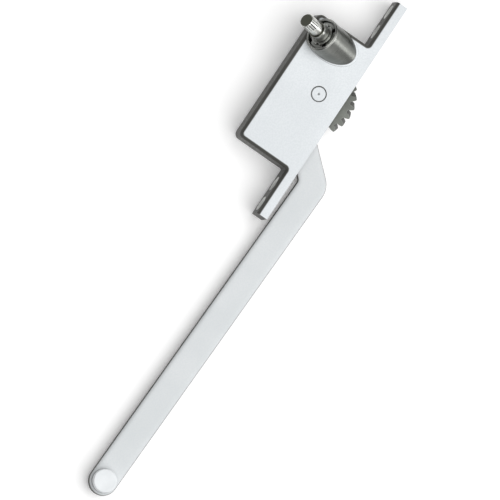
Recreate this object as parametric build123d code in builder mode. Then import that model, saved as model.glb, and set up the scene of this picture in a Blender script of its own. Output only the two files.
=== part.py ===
from build123d import *
import os
from math import acos, atan, cos, degrees, pi, radians, sin, tan

os.makedirs("parts", exist_ok=True)

# Face-mount casement window operator: cast housing, worm on an inclined crank stud, gear sector, dog-leg arm.
# Origin: centre of the mounting face, between the four screws. +Y out of that face, +X towards the arm's end,
# +Z towards the crank side.

# housing
ear_span = 136.5
body_length = 79.4
body_depth = 38.1
housing_height = 14.3
ear_thickness = 6.35
edge_round = 2.2
corner_round = 3.2
inside_corner = 1.0
foot_chamfer = 0.5
wall = 2.5
roof = 3.0
top = housing_height / 2
bottom = -housing_height / 2
ceiling = top - roof
slot_end_wall = 1.2
slot_right = body_length / 2 - slot_end_wall
slot_depth = 4.5
slot_headroom = 1.2
join = 0.1

# mounting screws, two in each ear
outer_spacing = 123.8
inner_spacing = 98.4
screw_hole_r = 2.25
screw_head_r = 4.2
countersink_angle = 82

# pivot
pivot_x = -3.2
pivot_y = -14.3
pin_r = 3.97
pin_head_r = 6.4
pin_head_height = 1.6
pin_head_round = 0.9
pin_chamfer = 0.4
dimple_r = 0.9
dimple_depth = 0.8
dimple_tip_r = 0.1
bush_r = 5.5
bush_clearance = 0.05
washer_r = 8.0
washer_thickness = 0.7
play = 0.1
pivot_boss_r = 8.5

# stack along the pivot
arm_thickness = 3.4
gear_thickness = 4.76
arm_low = bottom + 2 * play + washer_thickness
arm_high = arm_low + arm_thickness
gear_high = arm_high + gear_thickness
gear_mid = arm_high + gear_thickness / 2
boss_face = gear_high + washer_thickness + 2 * play

# gear pair
full_teeth = 25
sector_teeth = 11
first_tooth_angle = 63.7
gear_pitch_r = 20.6
shaft_tilt = 50.0
centre_distance = 26.3
pressure_angle = 20.0
root_share = 1.25
tooth_pitch_angle = 360 / full_teeth
worm_pitch_r = centre_distance - gear_pitch_r
lead_share = gear_pitch_r / full_teeth / worm_pitch_r
gear_helix = degrees(atan((cos(radians(shaft_tilt)) - lead_share) / sin(radians(shaft_tilt))))
normal_module = 2 * gear_pitch_r * cos(radians(gear_helix)) / full_teeth
gear_tip_r = gear_pitch_r + normal_module
gear_root_r = gear_pitch_r - root_share * normal_module
gear_thinning = 0.32
hub_r = 17.5
sweep_gap = 0.35
sector_overhang = 8.5
crest_rise = 0.06
flank_steps = 5
flank_start = 0.02
hub_steps = 12

# worm
thread_rise = 1.2
worm_tip_r = worm_pitch_r + thread_rise
worm_core_r = worm_pitch_r - root_share * normal_module
thread_sink = 0.2
worm_thinning = 0.22
thread_low = -4.6
thread_high = 7.2

# tower and crank stud, measured along the worm axis from its nearest point to the gear
tower_r = 9.525
tower_foot = -0.8
tower_rim = 23.4
worm_bore_r = 7.2
mouth_r = 8.2
bore_floor = -6.6
cup_low = -7.6
boss_r = 5.2
boss_low = -10.6
boss_flat = -11.0
rim_chamfer = 0.6
mouth_chamfer = 0.25
flat_block = 60.0
running_gap = 0.05
journal_r = 3.0
journal_low = -9.6
journal_end_gap = 0.2
journal_overlap = 0.7
worm_end_gap = 0.2
shaft_r = 4.6
nut_low = 13.0
nut_high = 22.2
nut_slot_width = 2.4
nut_slot_depth = 2.6
collar_r = 6.7
collar_low = 9.9
collar_high = 12.2
neck_r = 3.55
neck_low = 28.3
spline_low = 33.7
spline_r = 3.97
spline_root_r = 3.45
spline_count = 18
spline_groove_depth = 1.0
spline_groove_half = 0.56
stud_end = 40.0
stud_chamfer = 0.35
nut_slot_reach = 4.0
washer_gap = 0.05
clip_r = 6.1
clip_gap = 0.1
clip_low = nut_high + clip_gap
clip_thickness = 0.9
clip_groove_depth = 0.5
clip_groove_r = shaft_r - clip_groove_depth
clip_groove_gap = 0.05
clip_lip = 0.6
clip_notch_r = 1.1
clip_notch_height = 1.2

# arm, measured from the pivot
arm_width = 15.88
arm_end = (236.0, 20.7)
bar_angle = -1.7
neck_angle = 48.4
neck_outer_offset = 5.2
neck_inner_offset = 20.0
outer_bend_r = 12.0
inner_bend_r = 2.5
arm_edge_round = 0.9
hub_corners = ((neck_inner_offset - 0.4, -62), (hub_r - 0.3, -85))
free_arm = 20.0
gear_rivet_r = 2.2
gear_rivet_head_r = 2.9
gear_rivet_head = 0.9
gear_rivet_round = 0.7
gear_rivet_circle = 13.2
gear_rivet_angles = (30, 150, 270)

# guide button
button_r = 6.35
button_height = 5.0
button_round = 0.7
button_foot = 0.5
button_shank_r = 2.8
button_head_r = 4.2
button_head_height = 1.3
button_head_round = 0.8
button_gap = 0.1
button_washer_r = 5.0
button_washer_thickness = 0.6
collar_inset = 0.6
collar_gap = 0.05

# bottom cover and its screws
cover_thickness = 1.2
cover_margin = 0.5
cover_left = -26.0
cover_corner_x = -21.7
cover_corner_y = -23.5
cover_notch = 2.0
cover_corner_r = 2.0
cover_edge_round = 0.4
cover_hole_gap = 0.2
cover_screw_places = ((33.4, -32.0), (33.4, -13.2), (-23.0, -33.6))
cover_screw_r = 1.5
cover_screw_head_r = 2.8
cover_screw_head = 1.4
cover_screw_length = 8.0
cover_screw_tail = 1.5
cover_screw_round = 0.7
cross_length = 3.0
cross_width = 0.7
cross_depth = 0.9
column_r = 3.4


def polar(radius, angle):
    return (radius * cos(radians(angle)), radius * sin(radians(angle)))


pivot = Vector(pivot_x, pivot_y, 0)
worm_foot = Vector(pivot_x - centre_distance, pivot_y, gear_mid)
worm_axis = Vector(0, -sin(radians(shaft_tilt)), cos(radians(shaft_tilt)))
worm_plane = Plane(origin=worm_foot, x_dir=(1, 0, 0), z_dir=worm_axis)
stud_line = Axis(worm_foot, worm_axis)


def on_worm(distance):
    return worm_plane.offset(distance)


def at_pivot(height):
    return Plane(origin=(pivot_x, pivot_y, height))


# ---- gear tooth outline: involute flanks in the plane of the gear
transverse_pressure = atan(tan(radians(pressure_angle)) / cos(radians(gear_helix)))
base_r = gear_pitch_r * cos(transverse_pressure)
half_tooth = (pi * gear_pitch_r / full_teeth - gear_thinning) / (2 * gear_pitch_r)


def involute(radius):
    roll = acos(base_r / radius)
    return tan(roll) - roll


def half_angle(radius):
    return degrees(half_tooth + involute(gear_pitch_r) - involute(radius))


flank_low = base_r + flank_start
flank_step = (gear_tip_r - flank_low) / (flank_steps - 1)
flank_radii = [flank_low + flank_step * i for i in range(flank_steps)]


def tooth_points(middle):
    rising = [polar(r, middle - half_angle(r)) for r in flank_radii]
    falling = [polar(r, middle + half_angle(r)) for r in reversed(flank_radii)]
    foot_low = polar(gear_root_r, middle - half_angle(flank_low))
    foot_high = polar(gear_root_r, middle + half_angle(flank_low))
    crest = polar(gear_tip_r + crest_rise, middle)
    return [foot_low] + rising + [crest] + falling + [foot_high]


last_tooth_angle = first_tooth_angle + (sector_teeth - 1) * tooth_pitch_angle
sector_points = []
for tooth in range(sector_teeth):
    sector_points += tooth_points(first_tooth_angle + tooth * tooth_pitch_angle)
sector_ends = [first_tooth_angle - sector_overhang, last_tooth_angle + sector_overhang]
sector_points = [polar(hub_r, sector_ends[0]), polar(gear_root_r, sector_ends[0])] + sector_points
sector_points += [polar(gear_root_r, sector_ends[1]), polar(hub_r, sector_ends[1])]
hub_span = 360 + sector_ends[0] - sector_ends[1]
for step in range(1, hub_steps):
    sector_points.append(polar(hub_r, sector_ends[1] + hub_span * step / hub_steps))

gear_twist = -degrees(gear_thickness * tan(radians(gear_helix)) / gear_pitch_r)
sector_face = make_face(Polyline(*sector_points, close=True))
sector_blank = Solid.extrude_linear_with_rotation(
    (Rot(0, 0, -gear_twist / 2) * sector_face).face(), (0, 0, 0), (0, 0, gear_thickness), gear_twist
)
sector_blank = Pos(pivot_x, pivot_y, arm_high) * sector_blank

# ---- worm thread: one right-hand start, straight flanks
tilt_sum = sin(radians(shaft_tilt)) + cos(radians(shaft_tilt)) * tan(radians(gear_helix))
worm_pitch = 2 * pi * gear_pitch_r / full_teeth / tilt_sum
mesh_tooth = first_tooth_angle + tooth_pitch_angle * round((180 - first_tooth_angle) / tooth_pitch_angle)
tooth_offset = gear_pitch_r * radians(180 - mesh_tooth)
thread_phase = -tooth_offset / tilt_sum + worm_pitch / 2
flank_slope = tan(radians(pressure_angle))


def thread_half(radius):
    return worm_pitch / 4 - worm_thinning / 2 - (radius - worm_pitch_r) * flank_slope


def thread_edge(radius, side, low, height):
    return Edge.make_helix(worm_pitch, height, radius, center=(0, 0, low + side * thread_half(radius)))


def make_thread(low, height):
    foot_r = worm_core_r - thread_sink
    corners = [(foot_r, -1), (worm_tip_r, -1), (worm_tip_r, 1), (foot_r, 1)]
    edges = [thread_edge(r, side, low, height) for r, side in corners]
    sides = [Face.make_surface_from_curves(edges[i], edges[(i + 1) % 4]) for i in range(4)]
    caps = []
    for place in (0, 1):
        ends = [edge.position_at(place) for edge in edges]
        caps.append(Face(Wire([Edge.make_line(ends[i], ends[(i + 1) % 4]) for i in range(4)])))
    return Solid(Shell(sides + caps))


thread_turn = 360 * (thread_low - thread_phase) / worm_pitch
thread = worm_plane.location * Rot(0, 0, thread_turn) * make_thread(thread_low, thread_high - thread_low)

# ---- housing: die-cast body with two ears and a seat for the inclined tower, hollow from below
outline = [
    (-ear_span / 2, 0), (ear_span / 2, 0), (ear_span / 2, -ear_thickness),
    (body_length / 2, -ear_thickness), (body_length / 2, -body_depth),
    (-body_length / 2, -body_depth), (-body_length / 2, -ear_thickness), (-ear_span / 2, -ear_thickness),
]
inner_x = body_length / 2 - wall
inner_y = -body_depth + wall
pocket = [
    (inner_x, -wall), (inner_x, inner_y), (cover_corner_x, inner_y), (cover_corner_x, -wall),
]
screw_places = [side * spacing / 2 for side in (-1, 1) for spacing in (outer_spacing, inner_spacing)]
near = 0.1


def within_ears(edge):
    return abs(edge.center().X) < ear_span / 2 - 1


def at_ear_root(edge):
    return abs(edge.center().Y + ear_thickness) < near and within_ears(edge)


def off_mounting_face(edge):
    return edge.center().Y < -1 and within_ears(edge)


def pin_rim(edge):
    return abs(edge.radius - pin_r) < near and abs(edge.arc_center.Z - top) < near


with BuildPart() as housing:
    with BuildSketch(Plane.XY.offset(bottom)):
        with BuildLine():
            Polyline(*outline, close=True)
        make_face()
    extrude(amount=housing_height)
    upright = housing.edges().filter_by(Axis.Z)
    body_corners = upright.filter_by(lambda e: e.center().Y < -body_depth + 1)
    fillet(body_corners, corner_round)
    upright = housing.edges().filter_by(Axis.Z)
    fillet(upright.filter_by(at_ear_root), inside_corner)
    rim_edges = housing.faces().sort_by(Axis.Z)[-1].edges()
    fillet(rim_edges.filter_by(off_mounting_face), edge_round)
    low_edges = housing.faces().sort_by(Axis.Z)[0].edges()
    chamfer(low_edges.filter_by(off_mounting_face), foot_chamfer)
    with BuildSketch(Plane.XY.offset(bottom)):
        with BuildLine():
            Polyline(*pocket, close=True)
        make_face()
    extrude(amount=ceiling - bottom, mode=Mode.SUBTRACT)
    with BuildSketch(Plane.XY.offset(bottom)):
        with Locations(((cover_corner_x + slot_right) / 2, -slot_depth / 2)):
            Rectangle(slot_right - cover_corner_x, slot_depth)
    extrude(amount=gear_high + slot_headroom - bottom, mode=Mode.SUBTRACT)
    with BuildSketch(on_worm(cup_low)):
        Circle(tower_r)
    extrude(amount=-cup_low)
    with BuildSketch(on_worm(boss_low)):
        Circle(boss_r)
    extrude(amount=cup_low - boss_low)
    with BuildSketch(at_pivot(boss_face)):
        Circle(pivot_boss_r)
    extrude(amount=ceiling - boss_face + join)
    with BuildSketch(Plane.XY.offset(bottom)):
        with Locations(*cover_screw_places[:2]):
            Circle(column_r)
    extrude(amount=ceiling - bottom + join)
    with BuildSketch(at_pivot(arm_high - sweep_gap)):
        Circle(gear_tip_r + sweep_gap)
    extrude(amount=gear_high - arm_high + 2 * sweep_gap, mode=Mode.SUBTRACT)
    with BuildSketch(at_pivot(boss_face)):
        Circle(pivot_boss_r)
    extrude(amount=ceiling - boss_face + join)
    with BuildSketch(at_pivot(bottom)):
        Circle(hub_r + 2 * sweep_gap)
    extrude(amount=arm_high - bottom, mode=Mode.SUBTRACT)
    with BuildSketch(on_worm(bore_floor)):
        Circle(worm_bore_r)
    extrude(amount=tower_foot - bore_floor, mode=Mode.SUBTRACT)
    with BuildSketch(on_worm(tower_foot)):
        Circle(tower_r)
    extrude(amount=tower_rim - tower_foot, mode=Mode.SUBTRACT)
    with BuildSketch(on_worm(journal_low - journal_end_gap)):
        Circle(journal_r + running_gap)
    extrude(amount=bore_floor - journal_low + 1, mode=Mode.SUBTRACT)
    with BuildSketch(Plane.XY.offset(boss_flat)):
        with Locations((worm_foot.X, pivot_y)):
            Rectangle(flat_block, flat_block)
    extrude(amount=-flat_block, mode=Mode.SUBTRACT)
    with BuildSketch(at_pivot(boss_face - 1)):
        Circle(pin_r)
    extrude(amount=top - boss_face + 2, mode=Mode.SUBTRACT)
    with BuildSketch(Plane.XY.offset(bottom - 1)):
        with Locations(*cover_screw_places):
            Circle(cover_screw_r)
    extrude(amount=cover_screw_length, mode=Mode.SUBTRACT)
    for place in screw_places:
        with Locations(Plane(origin=(place, -ear_thickness, 0), x_dir=(1, 0, 0), z_dir=(0, -1, 0))):
            CounterSinkHole(screw_hole_r, screw_head_r, 2 * ear_thickness, countersink_angle)
    chamfer(housing.edges().filter_by(GeomType.CIRCLE).filter_by(pin_rim), pin_chamfer)
housing.part.label = "housing"

# ---- tower: machined steel tube pressed into the casting, open at the mouth
with BuildPart() as tower:
    with BuildSketch(on_worm(tower_foot)):
        Circle(tower_r)
    extrude(amount=tower_rim - tower_foot)
    with BuildSketch(on_worm(tower_foot)):
        Circle(worm_bore_r)
    extrude(amount=tower_rim, mode=Mode.SUBTRACT)
    with BuildSketch(on_worm(nut_low)):
        Circle(mouth_r)
    extrude(amount=tower_rim, mode=Mode.SUBTRACT)
    with BuildSketch(at_pivot(arm_high - sweep_gap)):
        Circle(gear_tip_r + sweep_gap)
    extrude(amount=gear_high - arm_high + 2 * sweep_gap, mode=Mode.SUBTRACT)
    with BuildSketch(at_pivot(2 * bottom)):
        Circle(hub_r + 2 * sweep_gap)
    extrude(amount=arm_high - 2 * bottom, mode=Mode.SUBTRACT)
    rim_face = tower.faces().filter_by(GeomType.PLANE).sort_by(stud_line)[-1]
    chamfer(rim_face.outer_wire().edges(), rim_chamfer)
    rim_face = tower.faces().filter_by(GeomType.PLANE).sort_by(stud_line)[-1]
    chamfer(rim_face.inner_wires()[0].edges(), mouth_chamfer)
tower.part.label = "tower"

# ---- bottom cover, a steel stamping that leaves the worm's corner free
cover_half = body_length / 2 - cover_margin
cover_outline = [
    (cover_half, -cover_margin), (cover_half, -body_depth + cover_margin),
    (cover_left, -body_depth + cover_margin), (cover_left, cover_corner_y),
    (cover_corner_x + cover_notch, cover_corner_y), (cover_corner_x + cover_notch, -cover_margin),
]
with BuildPart() as bottom_cover:
    with BuildSketch(Plane.XY.offset(bottom - cover_thickness)):
        with BuildLine():
            Polyline(*cover_outline, close=True)
        make_face()
    extrude(amount=cover_thickness)
    fillet(bottom_cover.edges().filter_by(Axis.Z), cover_corner_r)
    with BuildSketch(Plane.XY.offset(bottom - cover_thickness)):
        with Locations(*cover_screw_places):
            Circle(cover_screw_r + cover_hole_gap)
        with Locations((pivot_x, pivot_y)):
            Circle(pin_r)
    extrude(amount=cover_thickness, mode=Mode.SUBTRACT)
    fillet(bottom_cover.faces().sort_by(Axis.Z)[0].outer_wire().edges(), cover_edge_round)
bottom_cover.part.label = "bottom_cover"

cover_screws = []
for place in cover_screw_places:
    with BuildPart() as cover_screw:
        with BuildSketch(Plane.XY.offset(bottom - cover_thickness - cover_screw_head)):
            with Locations(place):
                Circle(cover_screw_head_r)
        extrude(amount=cover_screw_head)
        with BuildSketch(Plane.XY.offset(bottom - cover_thickness)):
            with Locations(place):
                Circle(cover_screw_r)
        extrude(amount=cover_screw_length - cover_screw_tail)
        fillet(cover_screw.faces().sort_by(Axis.Z)[0].edges(), cover_screw_round)
        with BuildSketch(Plane.XY.offset(bottom - cover_thickness - cover_screw_head)):
            with Locations(place):
                Rectangle(cross_length, cross_width)
                Rectangle(cross_width, cross_length)
        extrude(amount=cross_depth, mode=Mode.SUBTRACT)
    cover_screw.part.label = "cover_screw_" + str(len(cover_screws) + 1)
    cover_screws.append(cover_screw.part)

# ---- pivot pin: flush in the housing roof, headed over below the cover
with BuildPart() as pivot_pin:
    with BuildSketch(at_pivot(bottom - cover_thickness)):
        Circle(pin_r)
    extrude(amount=housing_height + cover_thickness)
    with BuildSketch(at_pivot(bottom - cover_thickness - pin_head_height)):
        Circle(pin_head_r)
    extrude(amount=pin_head_height)
    fillet(pivot_pin.faces().sort_by(Axis.Z)[0].edges(), pin_head_round)
    chamfer(pivot_pin.faces().sort_by(Axis.Z)[-1].edges(), pin_chamfer)
    with Locations((pivot_x, pivot_y, top + join)):
        Cone(
            dimple_tip_r, dimple_r, dimple_depth, align=(Align.CENTER, Align.CENTER, Align.MAX),
            mode=Mode.SUBTRACT,
        )
pivot_pin.part.label = "pivot_pin"

# ---- plain rings on the pivot: two spacers and the bush pressed through gear and arm
ring_sizes = {
    "upper_spacer": (boss_face - washer_thickness, washer_thickness, washer_r, pin_r),
    "lower_spacer": (bottom, washer_thickness, washer_r, pin_r),
    "pivot_bush": (arm_low, gear_high - arm_low, bush_r, pin_r + bush_clearance),
}
rings = []
for ring_name, (ring_low, ring_thickness, ring_outer, ring_inner) in ring_sizes.items():
    with BuildPart() as ring:
        with BuildSketch(at_pivot(ring_low)):
            Circle(ring_outer)
            Circle(ring_inner, mode=Mode.SUBTRACT)
        extrude(amount=ring_thickness)
    ring.part.label = ring_name
    rings.append(ring.part)

# ---- gear sector, arm, pivot bush and the rivets that join them
rivet_places = [polar(gear_rivet_circle, angle) for angle in gear_rivet_angles]

with BuildPart() as gear_sector:
    add(sector_blank)
    with BuildSketch(at_pivot(arm_high)):
        Circle(bush_r)
        with Locations(*rivet_places):
            Circle(gear_rivet_r)
    extrude(amount=gear_thickness, mode=Mode.SUBTRACT)
gear_sector.part.label = "gear_sector"

neck_along = Vector(*polar(1, neck_angle))
neck_side = Vector(*polar(1, neck_angle - 90))
bar_along = Vector(*polar(1, bar_angle))
bar_side = Vector(*polar(1, bar_angle - 90))
end_centre = Vector(*arm_end)


def crossing(start_a, along_a, start_b, along_b):
    gap = start_b - start_a
    share = (gap.X * along_b.Y - gap.Y * along_b.X) / (along_a.X * along_b.Y - along_a.Y * along_b.X)
    return start_a + along_a * share


outer_start = neck_side * neck_outer_offset
inner_start = neck_side * neck_inner_offset
bar_outer = end_centre - bar_side * (arm_width / 2)
bar_inner = end_centre + bar_side * (arm_width / 2)
outer_bend = crossing(outer_start, neck_along, bar_outer, bar_along)
inner_bend = crossing(inner_start, neck_along, bar_inner, bar_along)
arm_outline = [
    outer_start, outer_bend, bar_outer, bar_inner, inner_bend, inner_start,
] + [Vector(*polar(*corner)) for corner in hub_corners]


def arm_rim(edge):
    height = edge.center().Z
    return abs(height - arm_high) < near or abs(height - arm_low) < near


def past_hub(edge):
    return edge.center().Y > pivot_y + free_arm


with BuildPart() as arm:
    with BuildSketch(at_pivot(arm_low)) as arm_sketch:
        with BuildLine():
            Polyline(*[(p.X, p.Y) for p in arm_outline], close=True)
        make_face()
        with Locations((end_centre.X, end_centre.Y)):
            Circle(arm_width / 2)
        for bend, radius in ((outer_bend, outer_bend_r), (inner_bend, inner_bend_r)):
            fillet(arm_sketch.vertices().sort_by_distance((bend.X, bend.Y, 0))[0], radius)
        Circle(hub_r)
    extrude(amount=arm_thickness)
    fillet(arm.edges().filter_by(arm_rim).filter_by(past_hub), arm_edge_round)
    with BuildSketch(at_pivot(arm_low)):
        Circle(bush_r)
        with Locations(*rivet_places):
            Circle(gear_rivet_r)
        with Locations((end_centre.X, end_centre.Y)):
            Circle(button_shank_r + running_gap)
    extrude(amount=arm_thickness, mode=Mode.SUBTRACT)
arm.part.label = "arm"

gear_rivets = []
for place in rivet_places:
    with BuildPart() as gear_rivet:
        with BuildSketch(at_pivot(arm_low)):
            with Locations(place):
                Circle(gear_rivet_r)
        extrude(amount=gear_high - arm_low)
        with BuildSketch(at_pivot(gear_high)):
            with Locations(place):
                Circle(gear_rivet_head_r)
        extrude(amount=gear_rivet_head)
        fillet(gear_rivet.faces().sort_by(Axis.Z)[-1].edges(), gear_rivet_round)
    gear_rivet.part.label = "gear_rivet_" + str(len(gear_rivets) + 1)
    gear_rivets.append(gear_rivet.part)

# ---- worm and crank stud, one steel shaft
shaft_steps = [
    (journal_low, bore_floor + journal_overlap, journal_r),
    (bore_floor + worm_end_gap, collar_low, worm_core_r),
    (collar_low, collar_high, collar_r), (collar_high, neck_low, shaft_r), (neck_low, spline_low, neck_r),
    (spline_low, stud_end, spline_r),
]
with BuildPart() as worm_shaft:
    for step_low, step_high, step_r in shaft_steps:
        with BuildSketch(on_worm(step_low)):
            Circle(step_r)
        extrude(amount=step_high - step_low)
    add(thread)
    chamfer(worm_shaft.faces().sort_by(stud_line)[-1].edges(), stud_chamfer)
    with BuildSketch(on_worm(spline_low)):
        with PolarLocations(spline_root_r, spline_count):
            Polygon(
                (0, 0), (spline_groove_depth, -spline_groove_half),
                (spline_groove_depth, spline_groove_half), align=None,
            )
    extrude(amount=stud_end - spline_low, mode=Mode.SUBTRACT)
    with BuildSketch(on_worm(clip_low - clip_groove_gap)):
        Circle(tower_r)
        Circle(clip_groove_r, mode=Mode.SUBTRACT)
    extrude(amount=clip_thickness + 2 * clip_groove_gap, mode=Mode.SUBTRACT)
worm_shaft.part.label = "worm_shaft"

# ---- bearing nut in the tower's mouth, with four spanner slots
with BuildPart() as bearing_nut:
    with BuildSketch(on_worm(nut_low)):
        Circle(mouth_r)
        Circle(shaft_r + running_gap, mode=Mode.SUBTRACT)
    extrude(amount=nut_high - nut_low)
    with BuildSketch(on_worm(nut_high - nut_slot_depth)):
        with PolarLocations(mouth_r, 4, start_angle=45):
            Rectangle(nut_slot_reach, nut_slot_width)
    extrude(amount=nut_slot_depth, mode=Mode.SUBTRACT)
bearing_nut.part.label = "bearing_nut"

with BuildPart() as thrust_washer:
    with BuildSketch(on_worm(collar_high + washer_gap)):
        Circle(collar_r)
        Circle(shaft_r + running_gap, mode=Mode.SUBTRACT)
    extrude(amount=nut_low - collar_high - 2 * washer_gap)
thrust_washer.part.label = "thrust_washer"

with BuildPart() as stud_clip:
    with BuildSketch(on_worm(clip_low)):
        Circle(clip_r)
        Circle(clip_groove_r, mode=Mode.SUBTRACT)
        with Locations((0, -clip_r)):
            Rectangle(2 * (clip_groove_r - clip_lip), 2 * clip_r, mode=Mode.SUBTRACT)
        for side in (-1, 1):
            with Locations((side * clip_r, clip_notch_height)):
                Circle(clip_notch_r, mode=Mode.SUBTRACT)
    extrude(amount=clip_thickness)
stud_clip.part.label = "stud_clip"

# ---- guide button at the arm's end
button_centre = (pivot_x + end_centre.X, pivot_y + end_centre.Y)
shank_low = arm_low - button_washer_thickness - button_gap


def at_button(height):
    return Plane(origin=(button_centre[0], button_centre[1], height))


with BuildPart() as guide_button:
    with BuildSketch(at_button(arm_high + button_foot)):
        Circle(button_r)
    extrude(amount=button_height - button_foot)
    fillet(guide_button.faces().sort_by(Axis.Z)[-1].edges(), button_round)
    with BuildSketch(at_button(shank_low)):
        Circle(button_shank_r)
    extrude(amount=arm_high + button_foot - shank_low)
    with BuildSketch(at_button(shank_low - button_head_height)):
        Circle(button_head_r)
    extrude(amount=button_head_height)
    fillet(guide_button.faces().sort_by(Axis.Z)[0].edges(), button_head_round)
guide_button.part.label = "guide_button"

with BuildPart() as button_washer:
    with BuildSketch(at_button(arm_low - button_washer_thickness)):
        Circle(button_washer_r)
        Circle(button_shank_r + running_gap, mode=Mode.SUBTRACT)
    extrude(amount=button_washer_thickness)
button_washer.part.label = "button_washer"

with BuildPart() as button_collar:
    with BuildSketch(at_button(arm_high)):
        Circle(button_washer_r - collar_inset)
        Circle(button_shank_r + running_gap, mode=Mode.SUBTRACT)
    extrude(amount=button_foot - collar_gap)
button_collar.part.label = "button_collar"

pieces = [
    housing.part, tower.part, bottom_cover.part, pivot_pin.part, gear_sector.part, arm.part, worm_shaft.part,
    bearing_nut.part, thrust_washer.part, stud_clip.part, guide_button.part, button_washer.part,
    button_collar.part,
]
for piece in pieces + rings + cover_screws + gear_rivets:
    export_step(piece, "parts/" + piece.label + ".step")
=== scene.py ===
from math import atan2, cos, degrees, radians, sin
import bmesh
import bpy
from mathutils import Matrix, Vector


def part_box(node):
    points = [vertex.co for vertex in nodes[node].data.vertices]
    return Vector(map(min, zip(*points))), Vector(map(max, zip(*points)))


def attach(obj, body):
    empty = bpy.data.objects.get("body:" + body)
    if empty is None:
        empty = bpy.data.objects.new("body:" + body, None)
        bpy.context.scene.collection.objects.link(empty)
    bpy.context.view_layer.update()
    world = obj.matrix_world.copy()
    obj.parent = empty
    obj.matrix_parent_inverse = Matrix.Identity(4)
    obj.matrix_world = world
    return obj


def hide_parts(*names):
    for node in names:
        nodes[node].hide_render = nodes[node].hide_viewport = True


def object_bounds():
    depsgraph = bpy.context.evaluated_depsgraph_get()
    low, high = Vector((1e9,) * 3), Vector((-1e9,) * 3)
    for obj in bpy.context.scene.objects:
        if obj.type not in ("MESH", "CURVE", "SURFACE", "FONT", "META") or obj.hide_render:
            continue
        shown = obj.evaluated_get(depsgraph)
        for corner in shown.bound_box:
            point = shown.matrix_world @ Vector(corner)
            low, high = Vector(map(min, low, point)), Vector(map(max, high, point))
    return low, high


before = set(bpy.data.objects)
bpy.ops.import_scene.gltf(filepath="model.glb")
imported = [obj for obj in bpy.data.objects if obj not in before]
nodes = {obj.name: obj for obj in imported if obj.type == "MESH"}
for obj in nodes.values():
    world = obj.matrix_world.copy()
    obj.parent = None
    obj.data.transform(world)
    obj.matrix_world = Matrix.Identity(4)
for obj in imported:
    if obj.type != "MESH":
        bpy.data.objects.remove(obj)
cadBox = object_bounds()
print("frame loaded,", len(nodes), "nodes")


# small helpers for shader nodes

def addNode(tree, kind, **settings):
    node = tree.nodes.new(kind)
    for name, value in settings.items():
        setattr(node, name, value)
    return node


def link(tree, source, target):
    tree.links.new(source, target)


def mathNode(tree, operation, first, second=None):
    node = addNode(tree, "ShaderNodeMath", operation=operation)
    for socket, value in zip(node.inputs, (first, second)):
        if value is None:
            continue
        if isinstance(value, (int, float)):
            socket.default_value = value
        else:
            link(tree, value, socket)
    return node.outputs[0]


def rangeNode(tree, value, low, high, newLow=0.0, newHigh=1.0):
    node = addNode(tree, "ShaderNodeMapRange", clamp=True, interpolation_type="SMOOTHSTEP")
    link(tree, value, node.inputs["Value"])
    for name, number in (("From Min", low), ("From Max", high), ("To Min", newLow), ("To Max", newHigh)):
        node.inputs[name].default_value = number
    return node.outputs[0]


def noiseNode(tree, vector, scale, detail):
    node = addNode(tree, "ShaderNodeTexNoise")
    node.inputs["Detail"].default_value = detail
    link(tree, vector, node.inputs["Vector"])
    if isinstance(scale, float):
        node.inputs["Scale"].default_value = scale
    else:
        link(tree, scale, node.inputs["Scale"])
    return node


def mixColours(tree, factor, first, second):
    node = addNode(tree, "ShaderNodeMix", data_type="RGBA", blend_type="MIX")
    link(tree, factor, node.inputs[0])
    for socket, value in ((node.inputs[6], first), (node.inputs[7], second)):
        if isinstance(value, tuple):
            socket.default_value = value + (1.0,)
        else:
            link(tree, value, socket)
    return node.outputs[2]


def startGroup(name, inputs, outputs):
    tree = bpy.data.node_groups.new(name, "ShaderNodeTree")
    for label, kind, value in inputs:
        socket = tree.interface.new_socket(name=label, in_out="INPUT", socket_type=kind)
        if value is not None:
            socket.default_value = value
    for label, kind in outputs:
        tree.interface.new_socket(name=label, in_out="OUTPUT", socket_type=kind)
    return tree, addNode(tree, "NodeGroupInput"), addNode(tree, "NodeGroupOutput")


def placeGroup(tree, group, values):
    node = addNode(tree, "ShaderNodeGroup", node_tree=group)
    for name, value in values.items():
        if isinstance(value, (int, float, tuple)):
            node.inputs[name].default_value = value
        else:
            link(tree, value, node.inputs[name])
    return node


def maskNode(tree, inside, value, curve="LINEAR", start=0.0, end=1.0):  # between the group's own Low and High
    node = addNode(tree, "ShaderNodeMapRange", clamp=True, interpolation_type=curve)
    link(tree, value, node.inputs["Value"])
    link(tree, inside.outputs["Low"], node.inputs["From Min"])
    link(tree, inside.outputs["High"], node.inputs["From Max"])
    node.inputs["To Min"].default_value = start
    node.inputs["To Max"].default_value = end
    return node.outputs[0]


# shared effects

def makeEdgeWear():  # where handling rubs the corners bright or bare
    rub = {"samples": 6, "detail": 5.0, "gain": 1.6}
    tree, inside, outside = startGroup(
        "edgeWear",
        [("Vector", "NodeSocketVector", None), ("Width", "NodeSocketFloat", 0.0006),
         ("Breakup", "NodeSocketFloat", 900.0),
         ("Low", "NodeSocketFloat", 0.02), ("High", "NodeSocketFloat", 0.18)],
        [("Mask", "NodeSocketFloat")])
    bevel = addNode(tree, "ShaderNodeBevel", samples=rub["samples"])
    link(tree, inside.outputs["Width"], bevel.inputs["Radius"])
    geometry = addNode(tree, "ShaderNodeNewGeometry")
    dot = addNode(tree, "ShaderNodeVectorMath", operation="DOT_PRODUCT")
    link(tree, bevel.outputs[0], dot.inputs[0])
    link(tree, geometry.outputs["Normal"], dot.inputs[1])
    bend = mathNode(tree, "SUBTRACT", 1.0, dot.outputs["Value"])
    noise = noiseNode(tree, inside.outputs["Vector"], inside.outputs["Breakup"], rub["detail"])
    broken = mathNode(tree, "MULTIPLY", bend, mathNode(tree, "MULTIPLY", noise.outputs[0], rub["gain"]))
    link(tree, maskNode(tree, inside, broken), outside.inputs["Mask"])
    return tree


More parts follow.
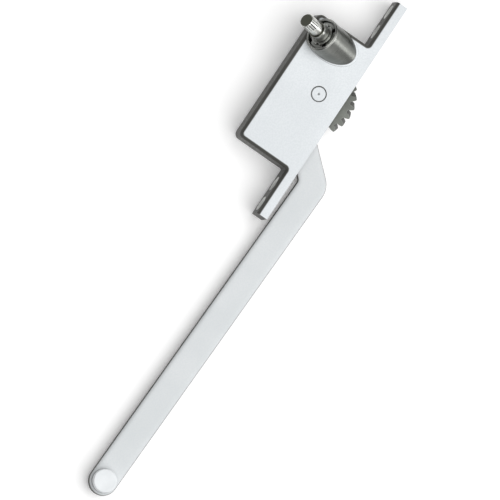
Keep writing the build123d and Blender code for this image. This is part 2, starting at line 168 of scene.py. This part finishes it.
def makeGrain():  # fine speckle and broader clouding, both from the object's own place
    detail = {"Speckle": 3.0, "Cloud": 4.0}
    tree, inside, outside = startGroup(
        "surfaceGrain",
        [("Vector", "NodeSocketVector", None), ("Speckle", "NodeSocketFloat", 2200.0),
         ("Cloud", "NodeSocketFloat", 45.0)],
        [("Speckle", "NodeSocketFloat"), ("Cloud", "NodeSocketFloat")])
    for name, amount in detail.items():
        noise = noiseNode(tree, inside.outputs["Vector"], inside.outputs[name], amount)
        link(tree, noise.outputs[0], outside.inputs[name])
    return tree


def makeBrushing():  # lines left by turning, rolling or a belt, along the given stretch of the coordinates
    line = {"detail": 6.0, "roughness": 0.65}
    tree, inside, outside = startGroup(
        "brushedLines",
        [("Vector", "NodeSocketVector", None), ("Stretch", "NodeSocketVector", (1.0, 60.0, 60.0)),
         ("Scale", "NodeSocketFloat", 60.0)],
        [("Lines", "NodeSocketFloat")])
    stretch = addNode(tree, "ShaderNodeVectorMath", operation="MULTIPLY")
    link(tree, inside.outputs["Vector"], stretch.inputs[0])
    link(tree, inside.outputs["Stretch"], stretch.inputs[1])
    noise = noiseNode(tree, stretch.outputs[0], inside.outputs["Scale"], line["detail"])
    noise.inputs["Roughness"].default_value = line["roughness"]
    link(tree, noise.outputs[0], outside.inputs["Lines"])
    return tree


def makePaintedGrooveShade():  # painted shade: darkens grooves, tooth roots and inside corners where ambient occlusion finds them, broken into patches
    shadeSettings = {"samples": 12, "patchScale": 700.0, "patchDetail": 3.0, "patchLow": 0.25, "patchHigh": 0.6,
            "weakest": 0.7}
    tree, inside, outside = startGroup(
        "paintedGrooveShade", [("Vector", "NodeSocketVector", None), ("Reach", "NodeSocketFloat", 0.0015),
                        ("Low", "NodeSocketFloat", 0.45), ("High", "NodeSocketFloat", 0.9)],
        [("Mask", "NodeSocketFloat")])
    closeness = addNode(tree, "ShaderNodeAmbientOcclusion", samples=shadeSettings["samples"])
    link(tree, inside.outputs["Reach"], closeness.inputs["Distance"])
    mask = maskNode(tree, inside, closeness.outputs["AO"], start=1.0, end=0.0)
    noise = noiseNode(tree, inside.outputs["Vector"], shadeSettings["patchScale"], shadeSettings["patchDetail"])
    patchy = rangeNode(tree, noise.outputs[0], shadeSettings["patchLow"], shadeSettings["patchHigh"], shadeSettings["weakest"], 1.0)
    link(tree, mathNode(tree, "MULTIPLY", mask, patchy), outside.inputs["Mask"])
    return tree


def makeFacing():  # 1 on faces that look along a direction, 0 on the rest
    tree, inside, outside = startGroup(
        "facesAlong", [("Direction", "NodeSocketVector", (0.0, 0.0, 1.0)), ("Low", "NodeSocketFloat", 0.35),
                       ("High", "NodeSocketFloat", 0.95)],
        [("Mask", "NodeSocketFloat")])
    place = addNode(tree, "ShaderNodeTexCoord")
    along = addNode(tree, "ShaderNodeVectorMath", operation="DOT_PRODUCT")
    link(tree, place.outputs["Normal"], along.inputs[0])
    link(tree, inside.outputs["Direction"], along.inputs[1])
    link(tree, maskNode(tree, inside, along.outputs["Value"], "SMOOTHSTEP"), outside.inputs["Mask"])
    return tree


def makeSeatHighlights():  # painted highlight: the four countersinks on the front of the ears are painted bright
    seats = {"outer": 0.0619, "inner": 0.0492, "radius": 0.0044, "soft": 0.0002, "back": -0.0005}
    tree, inside, outside = startGroup(
        "seatHighlights", [("Vector", "NodeSocketVector", None)], [("Mask", "NodeSocketFloat")])
    split = addNode(tree, "ShaderNodeSeparateXYZ")
    link(tree, inside.outputs["Vector"], split.inputs[0])
    across = mathNode(tree, "ABSOLUTE", split.outputs["X"])
    near = []
    for name in ("outer", "inner"):
        offset = mathNode(tree, "SUBTRACT", across, seats[name])
        flat = mathNode(tree, "ADD", mathNode(tree, "MULTIPLY", offset, offset),
                        mathNode(tree, "MULTIPLY", split.outputs["Z"], split.outputs["Z"]))
        near.append(mathNode(tree, "SQRT", flat))
    closest = mathNode(tree, "MINIMUM", near[0], near[1])
    mask = rangeNode(tree, closest, seats["radius"] - seats["soft"], seats["radius"], 1.0, 0.0)
    inFront = mathNode(tree, "LESS_THAN", split.outputs["Y"], seats["back"])
    link(tree, mathNode(tree, "MULTIPLY", mask, inFront), outside.inputs["Mask"])
    return tree


edgeWear = makeEdgeWear()
surfaceGrain = makeGrain()
brushedLines = makeBrushing()
paintedGrooveShade = makePaintedGrooveShade()
facesAlong = makeFacing()
seatHighlights = makeSeatHighlights()
print("effects ready")


# finishes

noiseBand = {"wide": (0.3, 0.7), "narrow": (0.35, 0.65)}
bumpDepth = 0.0001
roundingSamples = 8


def startFinish(name, centre=(0, 0, 0), turn=(0, 0, 0)):
    material = bpy.data.materials.new(name)
    material.use_nodes = True
    tree = material.node_tree
    shader = tree.nodes["Principled BSDF"]
    place = addNode(tree, "ShaderNodeTexCoord")
    mapping = addNode(tree, "ShaderNodeMapping", vector_type="TEXTURE")
    mapping.inputs["Location"].default_value = centre
    mapping.inputs["Rotation"].default_value = turn
    link(tree, place.outputs["Object"], mapping.inputs["Vector"])
    return material, tree, shader, mapping.outputs[0]


def bumpFrom(tree, shader, height, strength, softEdge=0.0):
    bump = addNode(tree, "ShaderNodeBump")
    if softEdge:
        rounding = addNode(tree, "ShaderNodeBevel", samples=roundingSamples)
        rounding.inputs["Radius"].default_value = softEdge
        link(tree, rounding.outputs[0], bump.inputs["Normal"])
    bump.inputs["Strength"].default_value = strength
    bump.inputs["Distance"].default_value = bumpDepth
    link(tree, height, bump.inputs["Height"])
    link(tree, bump.outputs[0], shader.inputs["Normal"])


def addGrain(tree, place, look):
    values = {"Vector": place, "Speckle": look["speckle"], "Cloud": look["cloud"]}
    return placeGroup(tree, surfaceGrain, values)


# paints shade: mixes the dark painted-shade colour in where the occlusion group finds grooves and corners
def addPaintedShade(tree, place, look, colour):
    paintedShade = placeGroup(tree, paintedGrooveShade, {"Vector": place, "Reach": look["shadeReach"]})
    amount = mathNode(tree, "MULTIPLY", paintedShade.outputs[0], look["shadeAmount"])
    return mixColours(tree, amount, colour, look["paintedShade"])


def coatedMetal(name, look, seats=False):  # thin silver-grey coat over a casting or strip
    material, tree, shader, place = startFinish(name)
    grain = addGrain(tree, place, look)
    wear = placeGroup(tree, edgeWear, {"Vector": place, "Width": look["wearWidth"]})
    up = placeGroup(tree, facesAlong, {"Low": look["wallLow"], "High": look["wallHigh"]})
    faceCloud = rangeNode(tree, grain.outputs["Cloud"], *noiseBand["narrow"])
    face = mixColours(tree, faceCloud, look["face"], look["faceDull"])
    # painted shade: faces that do not look up get the dark wall colour, a shaded copy of the same coat
    wallCloud = rangeNode(tree, grain.outputs["Cloud"], *noiseBand["wide"])
    walls = mixColours(tree, wallCloud, look["wall"], look["wallDull"])
    specks = rangeNode(tree, grain.outputs["Speckle"], *noiseBand["narrow"], 0.0, look["speckleAmount"])
    speckled = mixColours(tree, specks, face, look["speckleColour"])
    colour = mixColours(tree, up.outputs[0], walls, speckled)
    rubbed = mathNode(tree, "MULTIPLY", wear.outputs[0], up.outputs[0])
    worn = mixColours(tree, mathNode(tree, "MULTIPLY", rubbed, look["wearAmount"]), colour, look["bare"])
    # painted shade in grooves and corners goes over the colour; the seat mask below adds painted highlights
    withPaintedLight = addPaintedShade(tree, place, look, worn)
    if seats:
        # painted highlight in the four countersinks
        seatGlint = placeGroup(tree, seatHighlights, {"Vector": place})
        withPaintedLight = mixColours(tree, seatGlint.outputs[0], withPaintedLight, look["seat"])
    link(tree, withPaintedLight, shader.inputs["Base Color"])
    shader.inputs["Metallic"].default_value = look["metallic"]
    shader.inputs["Specular IOR Level"].default_value = look["gloss"]
    rough = rangeNode(tree, grain.outputs["Speckle"], *noiseBand["wide"], look["roughLow"], look["roughHigh"])
    link(tree, rough, shader.inputs["Roughness"])
    bumpFrom(tree, shader, grain.outputs["Speckle"], look["bump"], look["softEdge"])
    return material


def bareMetal(name, look, centre=(0, 0, 0), turn=(0, 0, 0)):  # turned, rolled or sintered metal, or plating
    wearLimits = {"Low": 0.008, "High": 0.07}
    facingLimits = {"Low": 0.8, "High": 0.97}
    material, tree, shader, place = startFinish(name, centre, turn)
    grain = addGrain(tree, place, look)
    lines = placeGroup(tree, brushedLines,
                       {"Vector": place, "Stretch": look["stretch"], "Scale": look["lineScale"]})
    wear = placeGroup(tree, edgeWear, dict(wearLimits, Vector=place, Width=look["wearWidth"]))
    cloud = rangeNode(tree, grain.outputs["Cloud"], *noiseBand["wide"])
    colour = mixColours(tree, cloud, look["light"], look["dark"])
    # painted shade: faces off the given direction take the dark sides colour, and faces along endDirection
    # take the dark ends colour
    if "direction" in look:
        facing = placeGroup(tree, facesAlong, dict(facingLimits, Direction=look["direction"]))
        colour = mixColours(tree, facing.outputs[0], look["sides"], colour)
    if "endDirection" in look:
        facing = placeGroup(tree, facesAlong, dict(facingLimits, Direction=look["endDirection"]))
        colour = mixColours(tree, facing.outputs[0], colour, look["ends"])
    streaks = rangeNode(tree, lines.outputs[0], *noiseBand["narrow"], 0.0, look["lineAmount"])
    lined = mixColours(tree, streaks, colour, look["lineColour"])
    rubbed = mathNode(tree, "MULTIPLY", wear.outputs[0], look["wearAmount"])
    worn = mixColours(tree, rubbed, lined, look["bare"])
    link(tree, addPaintedShade(tree, place, look, worn), shader.inputs["Base Color"])
    shader.inputs["Metallic"].default_value = look["metallic"]
    rough = rangeNode(tree, lines.outputs[0], *noiseBand["wide"], look["roughLow"], look["roughHigh"])
    link(tree, rough, shader.inputs["Roughness"])
    height = mathNode(tree, "ADD", mathNode(tree, "MULTIPLY", grain.outputs["Speckle"], look["grainBump"]),
                      mathNode(tree, "MULTIPLY", lines.outputs[0], look["lineBump"]))
    bumpFrom(tree, shader, height, look["bump"])
    return material


# the wall colours paint shade on sideways faces, seat paints a highlight in the countersinks, paintedShade
# darkens grooves and corners
housingLook = {
    "face": (0.745, 0.775, 0.795), "faceDull": (0.70, 0.73, 0.75), "wall": (0.092, 0.091, 0.083),
    "wallDull": (0.064, 0.064, 0.058), "seat": (0.75, 0.76, 0.74),
    "speckle": 1100.0, "cloud": 40.0, "speckleAmount": 0.28,
    "speckleColour": (0.56, 0.60, 0.62), "wearWidth": 0.0006, "wearAmount": 0.3, "bare": (0.80, 0.81, 0.80),
    "wallLow": 0.93, "wallHigh": 0.999, "metallic": 0.0, "roughLow": 0.38, "roughHigh": 0.52, "bump": 0.3,
    "paintedShade": (0.03, 0.03, 0.026), "shadeReach": 0.0012, "shadeAmount": 0.9, "softEdge": 0.0,
    "gloss": 0.2,
}
armLook = dict(housingLook, face=(0.66, 0.68, 0.69), faceDull=(0.62, 0.645, 0.655), cloud=28.0, wallLow=0.5,
               softEdge=0.004, shadeAmount=0.5)
pinLook = dict(housingLook, wallLow=0.5, wallHigh=0.7, shadeAmount=0.95)
beadLook = dict(housingLook, wallLow=0.3, wallHigh=0.8)
towerLook = {
    "light": (0.23, 0.235, 0.22), "dark": (0.17, 0.175, 0.162), "speckle": 1800.0, "cloud": 60.0,
    "stretch": (1.0, 1.0, 40.0), "lineScale": 60.0, "lineAmount": 0.3, "lineColour": (0.13, 0.133, 0.125),
    "wearWidth": 0.0004, "wearAmount": 0.9, "bare": (0.88, 0.88, 0.86), "metallic": 1.0,
    "roughLow": 0.26, "roughHigh": 0.38, "grainBump": 0.5, "lineBump": 0.6, "bump": 0.25,
    "paintedShade": (0.012, 0.012, 0.010), "shadeReach": 0.0015, "shadeAmount": 0.85,
}
shaftTilt = radians(50)
shaftAlong = (0.0, -sin(shaftTilt), cos(shaftTilt))
# painted shade: the stud's end face is coloured dark while the rest of the shaft stays light
shaftLook = dict(towerLook, light=(0.84, 0.85, 0.81), dark=(0.70, 0.71, 0.67), roughLow=0.26, roughHigh=0.42,
                 endDirection=shaftAlong, ends=(0.125, 0.130, 0.102), wearWidth=0.0003, wearAmount=1.0,
                 shadeReach=0.0008, shadeAmount=1.0)
# painted shadow: the long shade reach darkens the gear face near the roof edge where the housing's shadow
# falls, and the tooth flanks take the dark painted-shade sides colour
gearLook = dict(towerLook, light=(0.16, 0.171, 0.154), dark=(0.10, 0.107, 0.094), stretch=(1.0, 1.0, 1.0),
                lineColour=(0.13, 0.135, 0.12), bare=(0.55, 0.56, 0.53), roughLow=0.36, roughHigh=0.52,
                metallic=0.3, wearAmount=0.4, shadeReach=0.010, paintedShade=(0.035, 0.038, 0.030), shadeAmount=0.95,
                direction=(0.0, 0.0, 1.0), sides=(0.050, 0.053, 0.045))
plateLook = dict(towerLook, light=(0.66, 0.67, 0.66), dark=(0.55, 0.57, 0.57), stretch=(1.0, 40.0, 1.0),
                 lineColour=(0.45, 0.46, 0.46))
boltLook = dict(plateLook, stretch=(1.0, 1.0, 1.0), light=(0.42, 0.43, 0.41), dark=(0.30, 0.31, 0.29),
                lineColour=(0.22, 0.22, 0.21))
bronzeLook = dict(boltLook, light=(0.56, 0.40, 0.20), dark=(0.42, 0.29, 0.15), lineColour=(0.28, 0.19, 0.10),
                  bare=(0.75, 0.58, 0.34), metallic=0.9)
nylonLook = dict(boltLook, light=(0.78, 0.76, 0.68), dark=(0.70, 0.68, 0.60), lineColour=(0.60, 0.58, 0.50),
                 bare=(0.84, 0.83, 0.78), metallic=0.0, roughLow=0.45, roughHigh=0.6)
buttonLook = dict(towerLook, light=(0.74, 0.765, 0.78), dark=(0.69, 0.715, 0.73),
                  lineColour=(0.60, 0.62, 0.63), stretch=(1.0, 1.0, 1.0), roughLow=0.4, roughHigh=0.52,
                  metallic=0.05, wearAmount=0.3)

shaftTurn = (shaftTilt, 0.0, 0.0)
shaftFoot = Vector((-0.0295, -0.0143, -0.00047))
finishes = {
    "housing": coatedMetal("housingCoat", housingLook, seats=True),
    "arm": coatedMetal("armCoat", armLook),
    "pivot_pin": coatedMetal("pinCoat", pinLook),
    "tower": bareMetal("turnedTower", towerLook, shaftFoot, shaftTurn),
    "worm_shaft": bareMetal("turnedShaft", shaftLook, shaftFoot, shaftTurn),
    "gear_sector": bareMetal("gearSteel", gearLook),
    "bottom_cover": bareMetal("platedCover", plateLook),
    "bolt": bareMetal("platedFasteners", boltLook),
    "bronze": bareMetal("bushBronze", bronzeLook),
    "nylon": bareMetal("spacerNylon", nylonLook),
    "guide_button": bareMetal("buttonPlate", buttonLook),
}
sharedFinishes = {
    "bolt": ("bearing_nut", "stud_clip", "button_washer", "cover_screw_1", "cover_screw_2", "cover_screw_3",
             "gear_rivet_1", "gear_rivet_2", "gear_rivet_3"),
    "bronze": ("pivot_bush", "thrust_washer"),
    "nylon": ("upper_spacer", "lower_spacer", "button_collar"),
}


def dress(name, material):
    piece = nodes[name]
    if not piece.material_slots:
        piece.data.materials.append(material)
    for slot in piece.material_slots:
        slot.material = material


for name in nodes:
    if name in finishes:
        dress(name, finishes[name])
for finish, names in sharedFinishes.items():
    for name in names:
        dress(name, finishes[finish])
print("finishes on")


# pieces modelled here

edgeAngle = {"bevel": 40, "smooth": 35}
squareOn = 0.9


def startPiece(name, adder, **settings):
    bpy.ops.object.select_all(action="DESELECT")
    adder(**settings)
    piece = bpy.context.object
    piece.name = name
    bpy.ops.object.mode_set(mode="EDIT")
    bpy.ops.mesh.select_mode(type="FACE")
    return piece


def pickFaces(piece, test):
    bpy.ops.mesh.select_all(action="DESELECT")
    shape = bmesh.from_edit_mesh(piece.data)
    for face in shape.faces:
        face.select_set(test(face))
    bmesh.update_edit_mesh(piece.data)


def extrudeBy(distance):
    bpy.ops.mesh.extrude_region_move(TRANSFORM_OT_translate={"value": (0, 0, distance)})


def finishPiece(piece, bevelWidth, segments, body, material):
    bpy.ops.object.mode_set(mode="OBJECT")
    if bevelWidth:
        bpy.ops.object.modifier_add(type="BEVEL")
        bevel = piece.modifiers[-1]
        bevel.width = bevelWidth
        bevel.segments = segments
        bevel.limit_method = "ANGLE"
        bevel.angle_limit = radians(edgeAngle["bevel"])
        bpy.ops.object.modifier_apply(modifier=bevel.name)
    bpy.ops.object.transform_apply(location=True, rotation=True, scale=True)
    bpy.ops.object.shade_smooth_by_angle(angle=radians(edgeAngle["smooth"]))
    piece.data.materials.append(material)
    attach(piece, body)


# guide button: turned head with a shallow land, shank through the arm, headed over below
buttonShape = {"radius": 0.00635, "sides": 96, "shank": 0.0028, "head": 0.0042, "shankLow": -0.00695,
               "headLow": -0.00825, "footHigh": -0.00235, "land": 0.0013, "landDepth": 0.00015,
               "round": 0.0006, "roundSteps": 4}
buttonLow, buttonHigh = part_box("guide_button")
buttonX = (buttonLow[0] + buttonHigh[0]) / 2
buttonY = (buttonLow[1] + buttonHigh[1]) / 2
buttonTop = buttonHigh[2]
buttonThick = buttonTop - buttonShape["footHigh"]
guideButton = startPiece("guideButton", bpy.ops.mesh.primitive_cylinder_add,
                         vertices=buttonShape["sides"], radius=buttonShape["radius"], depth=buttonThick,
                         location=(buttonX, buttonY, buttonTop - buttonThick / 2))
pickFaces(guideButton, lambda face: face.normal.z > squareOn)
bpy.ops.mesh.inset(thickness=buttonShape["land"])
bpy.ops.transform.translate(value=(0, 0, -buttonShape["landDepth"]))
pickFaces(guideButton, lambda face: face.normal.z < -squareOn)
bpy.ops.mesh.inset(thickness=buttonShape["radius"] - buttonShape["shank"])
extrudeBy(buttonShape["shankLow"] - buttonShape["footHigh"])
extrudeBy(0)
headGrowth = buttonShape["head"] / buttonShape["shank"]
bpy.ops.transform.resize(value=(headGrowth, headGrowth, 1),
                         center_override=(buttonX, buttonY, buttonShape["shankLow"]))
extrudeBy(buttonShape["headLow"] - buttonShape["shankLow"])
finishPiece(guideButton, buttonShape["round"], buttonShape["roundSteps"], "button",
            finishes["guide_button"])
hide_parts("guide_button")

# bearing nut: castellated ring round the shaft, low down in the tower's mouth
nutShape = {"outer": 0.00815, "bore": 0.00466, "low": 0.0131, "slotFloor": 0.0196, "high": 0.0222,
            "sides": 72, "slots": 4, "slotHalf": 8.0, "firstSlot": 45.0, "edge": 0.00022, "edgeSteps": 2}
nutDepth = nutShape["slotFloor"] - nutShape["low"]
bearingNut = startPiece("bearingNut", bpy.ops.mesh.primitive_cylinder_add,
                        vertices=nutShape["sides"], radius=nutShape["outer"], depth=nutDepth,
                        location=(0, 0, nutShape["low"] + nutDepth / 2))
pickFaces(bearingNut, lambda face: abs(face.normal.z) > squareOn)
bpy.ops.mesh.inset(thickness=nutShape["outer"] - nutShape["bore"], use_individual=True)
bpy.ops.mesh.bridge_edge_loops()


def onLug(face):
    middle = face.calc_center_median()
    angle = degrees(atan2(middle.y, middle.x)) - nutShape["firstSlot"]
    step = 360 / nutShape["slots"]
    offSlot = abs((angle + step / 2) % step - step / 2)
    return face.normal.z > squareOn and offSlot > nutShape["slotHalf"]


pickFaces(bearingNut, onLug)
extrudeBy(nutShape["high"] - nutShape["slotFloor"])
bpy.ops.mesh.select_all(action="SELECT")
bpy.ops.mesh.normals_make_consistent(inside=False)
bpy.ops.object.mode_set(mode="OBJECT")
bpy.ops.object.transform_apply(location=True, rotation=True, scale=True)
bearingNut.rotation_euler = shaftTurn
bearingNut.location = shaftFoot
bpy.ops.object.transform_apply(location=True, rotation=True, scale=True)
finishPiece(bearingNut, nutShape["edge"], nutShape["edgeSteps"], "frame", finishes["bolt"])
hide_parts("bearing_nut")

# cast bead where the tower leaves the roof
beadShape = {"gap": 0.0001, "tube": 0.00055, "sides": 144, "tubeSides": 16, "flat": 0.7, "sink": 0.0003,
             "frontStop": -0.0359, "sideStop": -0.0375}
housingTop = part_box("housing")[1][2]
towerRadius = (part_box("tower")[1][0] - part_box("tower")[0][0]) / 2
rise = (housingTop - shaftFoot.z) / cos(shaftTilt)
beadPlace = (shaftFoot.x, shaftFoot.y - rise * sin(shaftTilt), housingTop)
towerBead = startPiece("towerBead", bpy.ops.mesh.primitive_torus_add,
                       major_segments=beadShape["sides"], minor_segments=beadShape["tubeSides"],
                       major_radius=towerRadius + beadShape["gap"], minor_radius=beadShape["tube"],
                       location=beadPlace)
bpy.ops.mesh.select_all(action="SELECT")
bpy.ops.transform.resize(value=(1, 1 / cos(shaftTilt), beadShape["flat"]), center_override=beadPlace)
cuts = (((0, beadShape["frontStop"], 0), (0, 1, 0)), ((beadShape["sideStop"], 0, 0), (1, 0, 0)),
        ((0, 0, housingTop - beadShape["sink"]), (0, 0, 1)))
for point, keep in cuts:
    bpy.ops.mesh.select_all(action="SELECT")
    bpy.ops.mesh.bisect(plane_co=point, plane_no=keep, use_fill=True, clear_inner=True)
finishPiece(towerBead, 0, 0, "frame", coatedMetal("beadCoat", beadLook))
print("pieces modelled")


# floor, lights and camera

floorLook = {"size": 4.0, "middle": 0.1, "gap": 0.0002, "colour": (0.93, 0.93, 0.93), "glow": 0.16,
             "roughness": 0.7}
lowest = cadBox[0][2]
bpy.ops.object.select_all(action="DESELECT")
bpy.ops.mesh.primitive_plane_add(size=floorLook["size"],
                                 location=(floorLook["middle"], 0, lowest - floorLook["gap"]))
floor = bpy.context.object
floor.name = "floor"
floorFinish, _, floorShader, _ = startFinish("paleFloor")
floorShader.inputs["Base Color"].default_value = floorLook["colour"] + (1.0,)
floorShader.inputs["Roughness"].default_value = floorLook["roughness"]
floorShader.inputs["Emission Color"].default_value = floorLook["colour"] + (1.0,)
floorShader.inputs["Emission Strength"].default_value = floorLook["glow"]
floor.data.materials.append(floorFinish)


softLights = {
    "overheadSoftbox": {"place": (0.1, 0.4, 1.1), "aim": (0.085, 0.0, 0.0),
                        "size": (2.0, 2.0), "power": 26.3},
    "lowStrip": {"place": (-0.22, 0.75, 0.17), "aim": (-0.03, -0.02, 0.01),
                 "size": (0.24, 0.30), "power": 1.1},
}


def addSoftLight(name, place, aim, size, power):
    data = bpy.data.lights.new(name, "AREA")
    data.shape = "RECTANGLE"
    data.size, data.size_y = size
    data.energy = power
    lamp = bpy.data.objects.new(name, data)
    lamp.location = place
    lamp.rotation_euler = (Vector(aim) - Vector(place)).to_track_quat("-Z", "Y").to_euler()
    bpy.context.scene.collection.objects.link(lamp)


for name, light in softLights.items():
    addSoftLight(name, **light)

worldLook = {"colour": (1.0, 1.0, 1.0, 1.0), "strength": 0.15}
world = bpy.data.worlds.new("studio")
bpy.context.scene.world = world
world.use_nodes = True
world.node_tree.nodes["Background"].inputs["Color"].default_value = worldLook["colour"]
world.node_tree.nodes["Background"].inputs["Strength"].default_value = worldLook["strength"]

cameraSetup = {"turn": (1.276, -11.932, 124.16), "aim": (0.085972, 0.002659, 0.0), "width": 0.266925,
               "back": 1.0, "near": 0.01}
cameraData = bpy.data.cameras.new("camera")
cameraData.type = "ORTHO"
cameraData.ortho_scale = cameraSetup["width"]
cameraData.clip_start = cameraSetup["near"]
camera = bpy.data.objects.new("camera", cameraData)
camera.rotation_euler = [radians(a) for a in cameraSetup["turn"]]
outward = camera.rotation_euler.to_matrix() @ Vector((0, 0, 1))
camera.location = Vector(cameraSetup["aim"]) + outward * cameraSetup["back"]
bpy.context.scene.collection.objects.link(camera)
bpy.context.scene.camera = camera
bpy.context.scene.view_settings.view_transform = "Standard"

print("scene ready")
